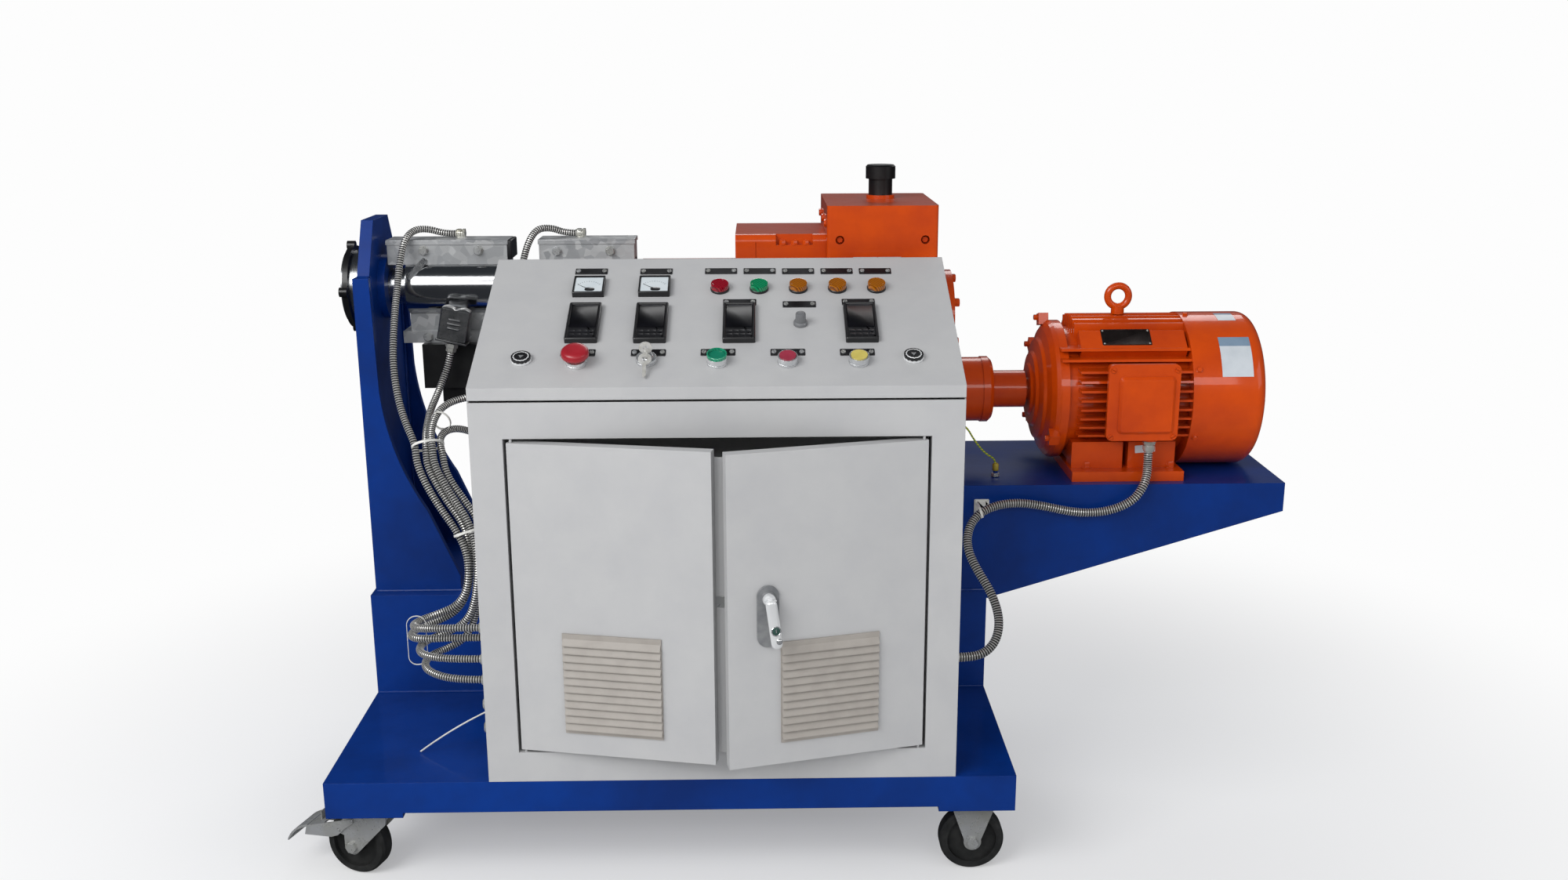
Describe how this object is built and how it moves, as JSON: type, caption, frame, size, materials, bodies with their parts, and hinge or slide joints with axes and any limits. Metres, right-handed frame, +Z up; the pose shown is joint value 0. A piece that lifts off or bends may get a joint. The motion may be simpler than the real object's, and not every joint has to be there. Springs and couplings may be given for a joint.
{
  "type": "laboratory extruder",
  "caption": "Single-screw laboratory extruder on a caster trolley: heated barrel, gearbox and motor behind a console cabinet with a sloping instrument lid and two doors.",
  "frame": {"origin": "on the floor under the middle of the machine", "axes": "+X to the operator's right along the screw, from the die to the motor; +Y away from the operator; +Z up"},
  "size_m": [1.6216, 0.7204, 1.056],
  "materials": {
    "blue_paint": "gloss enamel",
    "grey_powder": "textured powder coat",
    "orange_paint": "gloss enamel",
    "zinc": "bright zinc plate",
    "stainless": "polished",
    "machined_steel": "turned",
    "galvanised": "galvanised sheet",
    "black_metal": "satin",
    "black_plastic": "gloss",
    "black_rubber": "matt",
    "beige_plastic": "moulded",
    "grey_plastic": "moulded",
    "chrome": "polished",
    "meter_face": "printed card behind a clear window",
    "lamp_lens": "coloured lens",
    "red_plastic": "gloss",
    "green_plastic": "gloss",
    "yellow_plastic": "gloss",
    "aluminium_cast": "cast",
    "conduit_steel": "wound strip",
    "earth_sheath": "green and yellow sheath"
  },
  "bodies": {
    "machine": {"deck": "blue_paint", "pedestal": "blue_paint", "motor_shelf": "blue_paint", "barrel_bracket": "blue_paint", "caster_plates": "zinc", "cabinet_front": "grey_powder", "cabinet_sides": "grey_powder", "cabinet_back": "grey_powder", "barrel": "machined_steel", "die_clamp": "black_metal", "heater_shells": "stainless", "heater_boxes": "galvanised", "power_plug": "aluminium_cast", "barrel_blower": "black_metal", "feed_section": "orange_paint", "gearbox_housing": "orange_paint", "thrust_housing": "orange_paint", "breather_cap": "black_metal", "motor_body": "orange_paint", "motor_end_bell": "orange_paint", "motor_fan_cover": "orange_paint", "motor_terminal_box": "orange_paint", "lifting_eye": "orange_paint", "cable_glands": "chrome", "heater_conduit_front": "conduit_steel", "heater_conduit_rear": "conduit_steel", "plug_conduit": "conduit_steel", "blower_conduit": "conduit_steel", "motor_conduit": "conduit_steel", "earth_wire": "earth_sheath", "caster_fork_front_right": "zinc", "caster_fork_rear_right": "zinc"},
    "door_left": {"door_left": "grey_powder", "vent_left": "beige_plastic"},
    "door_right": {"door_right": "grey_powder", "vent_right": "beige_plastic", "handle_dish": "grey_plastic"},
    "handle_spindle": {"handle_spindle": "chrome"},
    "handle_lever": {"handle_lever": "chrome"},
    "console_lid": {"console_lid": "grey_powder", "panel_meters": "meter_face", "panel_controllers": "black_plastic", "pilot_lamps": "lamp_lens", "switch_collars": "chrome"},
    "emergency_stop": {"emergency_stop": "red_plastic"},
    "key_switch": {"key_switch": "chrome"},
    "speed_knob": {"speed_knob": "grey_plastic"},
    "lid_lock_left": {"lid_lock_left": "black_plastic"},
    "lid_lock_right": {"lid_lock_right": "black_plastic"},
    "drive_coupling": {"drive_coupling": "orange_paint"},
    "brake_pedal": {"brake_pedal": "zinc"},
    "button_green": {"button_green": "green_plastic"},
    "button_red": {"button_red": "red_plastic"},
    "button_yellow": {"button_yellow": "yellow_plastic"},
    "caster_fork_front_left": {"caster_fork_front_left": "zinc"},
    "caster_fork_rear_left": {"caster_fork_rear_left": "zinc"},
    "caster_wheel_front_left": {"caster_wheel_front_left": "black_rubber"},
    "caster_wheel_rear_left": {"caster_wheel_rear_left": "black_rubber"},
    "caster_wheel_front_right": {"caster_wheel_front_right": "black_rubber"},
    "caster_wheel_rear_right": {"caster_wheel_rear_right": "black_rubber"}
  },
  "joints": [
    {"name": "door_left_swing", "type": "hinge", "parent": "machine", "child": "door_left", "pos_m": [-0.41769, -0.26231, 0.233], "axis": [0, 0, -1], "range_deg": [-11.3, 98.7]},
    {"name": "door_right_swing", "type": "hinge", "parent": "machine", "child": "door_right", "pos_m": [0.16731, -0.26231, 0.233], "axis": [0, 0, 1], "range_deg": [-14.7, 95.3]},
    {"name": "handle_turn", "type": "hinge", "parent": "door_right", "child": "handle_spindle", "pos_m": [-0.05519, -0.33236, 0.4915], "axis": [0.2538, -0.9673, 0], "range_deg": [-6, 84]},
    {"name": "handle_lift", "type": "hinge", "parent": "handle_spindle", "child": "handle_lever", "pos_m": [-0.0524, -0.343, 0.4915], "axis": [-0.962, -0.2524, -0.1045], "range_deg": [-8, 16]},
    {"name": "lid_lift", "type": "hinge", "parent": "machine", "child": "console_lid", "pos_m": [-0.12519, 0.05019, 0.918], "axis": [-1, 0, 0], "range_deg": [0, 70]},
    {"name": "emergency_stop_push", "type": "slide", "parent": "console_lid", "child": "emergency_stop", "axis": [0, 0.4116, -0.9114], "range_m": [0, 0.004]},
    {"name": "button_green_push", "type": "slide", "parent": "console_lid", "child": "button_green", "axis": [0, 0.4116, -0.9114], "range_m": [0, 0.002], "stiffness_N_per_m": 500, "springref_m": -0.004},
    {"name": "button_red_push", "type": "slide", "parent": "console_lid", "child": "button_red", "axis": [0, 0.4116, -0.9114], "range_m": [0, 0.002], "stiffness_N_per_m": 500, "springref_m": -0.004},
    {"name": "button_yellow_push", "type": "slide", "parent": "console_lid", "child": "button_yellow", "axis": [0, 0.4116, -0.9114], "range_m": [0, 0.002], "stiffness_N_per_m": 500, "springref_m": -0.004},
    {"name": "key_turn", "type": "hinge", "parent": "console_lid", "child": "key_switch", "pos_m": [-0.22719, -0.21177, 0.81399], "axis": [0, -0.4116, 0.9114], "range_deg": [0, 90]},
    {"name": "knob_turn", "type": "hinge", "parent": "console_lid", "child": "speed_knob", "pos_m": [-0.00419, -0.12751, 0.85094], "axis": [0, -0.4116, 0.9114], "range_deg": [-135, 135]},
    {"name": "lid_lock_left_turn", "type": "hinge", "parent": "console_lid", "child": "lid_lock_left", "pos_m": [-0.40619, -0.20644, 0.8131], "axis": [0, -0.4116, 0.9114], "range_deg": [0, 90]},
    {"name": "lid_lock_right_turn", "type": "hinge", "parent": "console_lid", "child": "lid_lock_right", "pos_m": [0.15581, -0.20644, 0.8131], "axis": [0, -0.4116, 0.9114], "range_deg": [-90, 0]},
    {"name": "coupling_spin", "type": "hinge", "parent": "machine", "child": "drive_coupling", "pos_m": [0.31681, 0.21119, 0.672], "axis": [1, 0, 0], "continuous": true},
    {"name": "swivel_front_left", "type": "hinge", "parent": "machine", "child": "caster_fork_front_left", "pos_m": [-0.66519, -0.21081, 0.108], "axis": [0, 0, 1], "continuous": true},
    {"name": "wheel_front_left", "type": "hinge", "parent": "caster_fork_front_left", "child": "caster_wheel_front_left", "pos_m": [-0.69372, -0.20154, 0.05], "axis": [-0.309, -0.9511, 0], "continuous": true},
    {"name": "swivel_rear_left", "type": "hinge", "parent": "machine", "child": "caster_fork_rear_left", "pos_m": [-0.66519, 0.30519, 0.108], "axis": [0, 0, 1], "continuous": true},
    {"name": "wheel_rear_left", "type": "hinge", "parent": "caster_fork_rear_left", "child": "caster_wheel_rear_left", "pos_m": [-0.69372, 0.29592, 0.05], "axis": [0.309, -0.9511, 0], "continuous": true},
    {"name": "wheel_front_right", "type": "hinge", "parent": "machine", "child": "caster_wheel_front_right", "pos_m": [0.25881, -0.21081, 0.05], "axis": [0, 1, 0], "continuous": true},
    {"name": "wheel_rear_right", "type": "hinge", "parent": "machine", "child": "caster_wheel_rear_right", "pos_m": [0.25881, 0.30519, 0.05], "axis": [0, 1, 0], "continuous": true},
    {"name": "brake_pedal_lift", "type": "hinge", "parent": "caster_fork_front_left", "child": "brake_pedal", "pos_m": [-0.71274, -0.19536, 0.077], "axis": [0.309, 0.9511, 0], "range_deg": [0, 10]}
  ]
}
